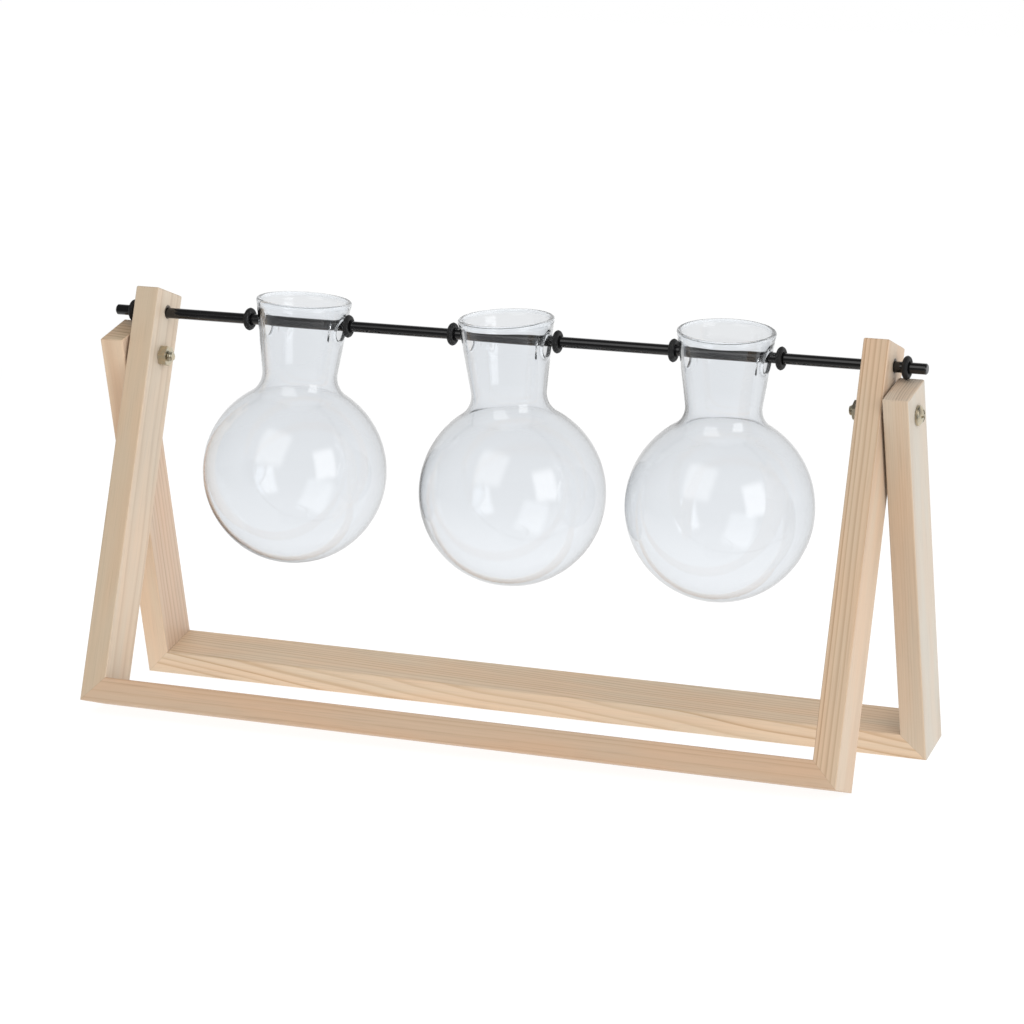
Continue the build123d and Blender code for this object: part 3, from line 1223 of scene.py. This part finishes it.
@dataclass
class Fittings:
    """Everything that isn't timber: the pivots, brads, rod, rings and flasks."""

    zinc: CoatFinish = CoatFinish(
        "pivot_yellow_zinc",
        srgb(200, 187, 162),
        srgb(186, 183, 166),
        patches=Noise((0.5, 0.5, 0.5), 2.0),
        patch_range=(0.35, 0.7),
        marks=Noise((5.0, 0.8, 5.0), 3.0),
        roughness=(0.2, 0.4),
        relief_strength=0.2,
        relief_mm=0.03,
        metallic=1.0,
    )
    steel: CoatFinish = replace(
        zinc,
        name="brad_drawn_steel",
        body=srgb(176, 176, 178),
        other=srgb(150, 150, 154),
        roughness=(0.25, 0.45),
    )
    rod: CoatFinish = CoatFinish(
        "rod_satin_black",
        srgb(14, 14, 15),
        srgb(30, 30, 31),
        patches=Noise((0.07, 0.5, 0.5), 4.0, 2.0),
        patch_range=(0.5, 0.8),
        marks=Noise((0.02, 2.2, 2.2), 3.0),
        roughness=(0.08, 0.14),
        relief_strength=0.3,
        relief_mm=0.03,
        specular=0.65,
    )
    rubber: CoatFinish = CoatFinish(
        "ring_rubber_matt",
        srgb(20, 20, 21),
        srgb(34, 34, 35),
        patches=Noise((0.9, 0.9, 0.9), 4.0),
        patch_range=(0.4, 0.8),
        marks=Noise((6.0, 6.0, 6.0), 2.0),
        roughness=(0.5, 0.7),
        relief_strength=0.25,
        relief_mm=0.06,
        specular=0.4,
    )
    glass: GlassFinish = GlassFinish("blown_glass", clearness=1.0)
    glass_rim: GlassFinish = GlassFinish("worked_glass", clearness=0.85, tint=(0.86, 0.885, 0.91, 1.0))

    def pivots(self) -> None:
        """Fit the screws, and dress the nuts, washers and brads."""
        zinc, steel = self.zinc.material(), self.steel.material()
        for side, driven in ((Side.LEFT, 31.0), (Side.RIGHT, 17.0)):
            PivotScrew(side, driven).dress(zinc)
            dress_node(f"pivot_nut_{side.name.lower()}", zinc)
            dress_node(f"pivot_washer_{side.name.lower()}", zinc)
        for node in ("front_corner_brads", "rear_corner_brads"):
            dress_node(node, steel)

    def hanging_rod(self) -> None:
        """Dress the rod and fit its rings."""
        dress_node("hanging_rod", self.rod.material())
        rubber = self.rubber.material()
        tilts = {
            "left_flask_ring_left": -2.5,
            "left_flask_ring_right": 1.5,
            "middle_flask_ring_left": -1.0,
            "middle_flask_ring_right": 2.0,
            "right_flask_ring_left": 1.0,
            "right_flask_ring_right": -1.5,
            "end_ring_left": 1.0,
            "end_ring_right": -1.0,
        }
        for node, tilt in tilts.items():
            RubberRing(node, tilt).dress(rubber)

    def flasks(self) -> None:
        """Blow the three flasks and hang them."""
        clear, worked = self.glass.material(), self.glass_rim.material()
        for flask in (
            GlassFlask("left_flask", along_rod=-82.85, lean=-3.4, swing=0.4, rod_below_rim=9.1, seed=0.4),
            GlassFlask("middle_flask", along_rod=0.95, lean=1.2, swing=3.9, rod_below_rim=7.7, seed=2.3),
            GlassFlask("right_flask", along_rod=86.55, lean=-2.9, swing=5.8, rod_below_rim=8.9, seed=4.1),
        ):
            flask.dress(clear, worked)


@dataclass(frozen=True)
class SoftBox:
    """A rectangular studio light that faces the object from a bearing and fades towards its edges."""

    name: str
    azimuth: float
    elevation: float
    width: float
    height: float
    radiance: float
    distance: float = 2.4
    aim: float = 0.08
    fade: float = 0.22

    def place(self) -> None:
        """Hang the light."""
        lamp = bpy.data.lights.new(self.name, "AREA")
        lamp.shape = "RECTANGLE"
        lamp.size, lamp.size_y = self.width, self.height
        lamp.energy = self.radiance * math.pi * self.width * self.height
        lamp.use_nodes = True
        graph = Graph(lamp.node_tree)
        u, v, _ = graph.split(graph.node("ShaderNodeNewGeometry").outputs["Parametric"])
        edges = [graph.math("MINIMUM", share, graph.math("SUBTRACT", 1.0, share)) for share in (u, v)]
        glow = graph.math("MULTIPLY", *(graph.step(edge, 0.0, self.fade) for edge in edges))
        shine = graph.node("ShaderNodeEmission", {"Strength": glow})
        graph.node("ShaderNodeOutputLight", {"Surface": shine.outputs[0]})
        light = bpy.data.objects.new(self.name, lamp)
        towards = bearing(self.azimuth, self.elevation)
        light.location = Vector((0, 0, self.aim)) + towards * self.distance
        light.rotation_mode = "QUATERNION"
        light.rotation_quaternion = (-towards).to_track_quat("-Z", "Y")
        bpy.context.scene.collection.objects.link(light)


def bearing(azimuth: float, elevation: float) -> Vector:
    """Return the direction from the object to a bearing in degrees; azimuth 0 looks along +Y."""
    a, e = math.radians(azimuth), math.radians(elevation)
    return Vector((math.sin(a) * math.cos(e), -math.cos(a) * math.cos(e), math.sin(e)))


@dataclass
class Studio:
    """A white light table and backdrop, two soft boxes, and the camera at the photograph's angle.

    The room gives an even fill that is lighter on some sides. Metal and glass mirror it as it is: white
    behind and under the object, and darker in front of it and overhead. The camera sees it white.
    """

    floor_half: float = 4.0
    floor_drop: float = 0.0001
    floor_white: float = 1.01
    floor_bounce: float = 1.25
    shadow_share: float = 0.2
    shadow_reach: Span = (0.3, 0.9)
    shadow_light: float = 0.6
    fill: float = 0.03
    fill_right: float = 0.9
    fill_up: float = 0.95
    mirrored_front: float = 0.12
    floor_fade: Span = (-0.3, 0.1)
    room_fade: Span = (-0.3, 0.5)
    room_tilt: float = -0.7
    within: float = 0.48
    through: float = 0.863
    # painted pool of light on the floor near the object, as it is seen through the glass
    painted_light_pool: float = 0.97
    pool_reach: Span = (0.15, 0.45)
    boxes: tuple[SoftBox, ...] = (
        SoftBox("left_soft_box", azimuth=-11.0, elevation=39.0, width=1.92, height=2.3, radiance=1.29),
        SoftBox("right_soft_box", azimuth=66.0, elevation=18.0, width=1.5, height=1.9, radiance=2.1),
    )
    camera_azimuth: float = 22.887
    camera_elevation: float = 10.954
    camera_roll: float = 0.749
    camera_distance: float = 1391.9
    camera_target: tuple[float, float, float] = (5.896, 2.1, 83.205)
    camera_lens: float = 132.14
    camera_sensor: float = 36.0

    @staticmethod
    def seen(graph: Graph, plain: Feed, mirrored: Feed, within: Feed, through: Feed, direct: Feed) -> Feed:
        """Choose a level by how the object or the camera sees it.

        Args:
            graph: The node graph to add to.
            plain: The level that lights the object.
            mirrored: The level in reflections.
            within: The level in reflections that are seen through glass.
            through: The level straight through glass.
            direct: The level for the camera.

        Returns:
            The level that is shown.
        """
        path = graph.node("ShaderNodeLightPath").outputs
        bent = path["Is Transmission Ray"]
        straight = graph.math("MULTIPLY", bent, graph.math("LESS_THAN", path["Glossy Depth"], 0.5))
        rays = (
            (path["Is Glossy Ray"], mirrored),
            (bent, within),
            (straight, through),
            (path["Is Camera Ray"], direct),
        )
        level = plain
        for ray, shown in rays:
            level = graph.line(ray, graph.math("SUBTRACT", shown, level), level)
        return level

    def floor(self) -> None:
        """Lay a glowing floor that looks white and keeps the object's shadow near it."""
        half, low = self.floor_half, -self.floor_drop
        mesh = bpy.data.meshes.new("floor")
        corners = [(-half, -half, low), (half, -half, low), (half, half, low), (-half, half, low)]
        mesh.from_pydata(corners, [], [(0, 1, 2, 3)])
        floor = bpy.data.objects.new("floor", mesh)
        bpy.context.scene.collection.objects.link(floor)
        graph, material = Graph.of_material("floor_white")
        spot = graph.node("ShaderNodeTexCoord").outputs["Object"]
        away = graph.measure("LENGTH", spot)
        share = graph.step(away, *self.shadow_reach, self.shadow_share, 0.0)
        lit = graph.node("ShaderNodeBsdfDiffuse", {"Color": graph.combine(share, share, share)})
        _, y, _ = graph.split(spot)
        mirrored = graph.step(y, *self.floor_fade, self.mirrored_front, 1.0)
        # through the glass the floor shows a painted pool of light near the object
        through = graph.step(away, *self.pool_reach, self.painted_light_pool, self.through)
        level = self.seen(graph, self.floor_bounce, mirrored, self.within, through, self.floor_white)
        level = graph.line(share, -self.shadow_light, level)
        glow = graph.node("ShaderNodeEmission", {"Strength": level})
        both = graph.node("ShaderNodeAddShader", {0: lit.outputs[0], 1: glow.outputs[0]})
        graph.node("ShaderNodeOutputMaterial", {"Surface": both.outputs[0]})
        mesh.materials.append(material)

    def surroundings(self) -> None:
        """Light the room, and show it white to the camera."""
        world = bpy.data.worlds.new("white_room")
        world.use_nodes = True
        graph = Graph(world.node_tree)
        x, y, z = graph.split(graph.node("ShaderNodeTexCoord").outputs["Generated"])
        plain: Feed = self.fill
        for way, amount in ((x, self.fill_right), (z, self.fill_up)):
            plain = graph.line(graph.math("MAXIMUM", way, 0.0), amount, plain)
        behind = graph.step(graph.line(z, self.room_tilt, y), *self.room_fade)
        mirrored = graph.between(behind, self.mirrored_front, 1.0)
        level = self.seen(graph, plain, mirrored, self.within, self.through, 1.0)
        room = graph.node("ShaderNodeBackground", {"Color": (1.0, 1.0, 1.0, 1.0), "Strength": level})
        graph.node("ShaderNodeOutputWorld", {"Surface": room.outputs[0]})
        bpy.context.scene.world = world

    def camera(self) -> None:
        """Set up the camera at the photograph's viewpoint."""
        back = bearing(self.camera_azimuth, self.camera_elevation)
        azimuth, roll = math.radians(self.camera_azimuth), math.radians(self.camera_roll)
        right = Vector((math.cos(azimuth), math.sin(azimuth), 0))
        up = back.cross(right)
        across = right * math.cos(roll) + up * math.sin(roll)
        upward = up * math.cos(roll) - right * math.sin(roll)
        eye = (Vector(self.camera_target) + back * self.camera_distance) * MM
        lens = bpy.data.cameras.new("camera")
        lens.lens = self.camera_lens
        lens.sensor_width = self.camera_sensor
        camera = bpy.data.objects.new("camera", lens)
        aimed = Matrix((across, upward, back)).transposed().to_4x4()
        camera.matrix_world = Matrix.Translation(eye) @ aimed
        bpy.context.scene.collection.objects.link(camera)
        bpy.context.scene.camera = camera

    def build(self) -> None:
        """Build the whole studio."""
        bpy.context.scene.view_settings.view_transform = "Standard"
        self.floor()
        self.surroundings()
        for box in self.boxes:
            box.place()
        self.camera()
        LOG.info("studio with %d soft boxes", len(self.boxes))


def main() -> None:
    """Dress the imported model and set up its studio."""
    logging.basicConfig(level=logging.INFO, format="%(message)s")
    Timber().dress()
    fittings = Fittings()
    fittings.pivots()
    fittings.hanging_rod()
    fittings.flasks()
    Studio().build()


if __name__ == "__main__":
    main()
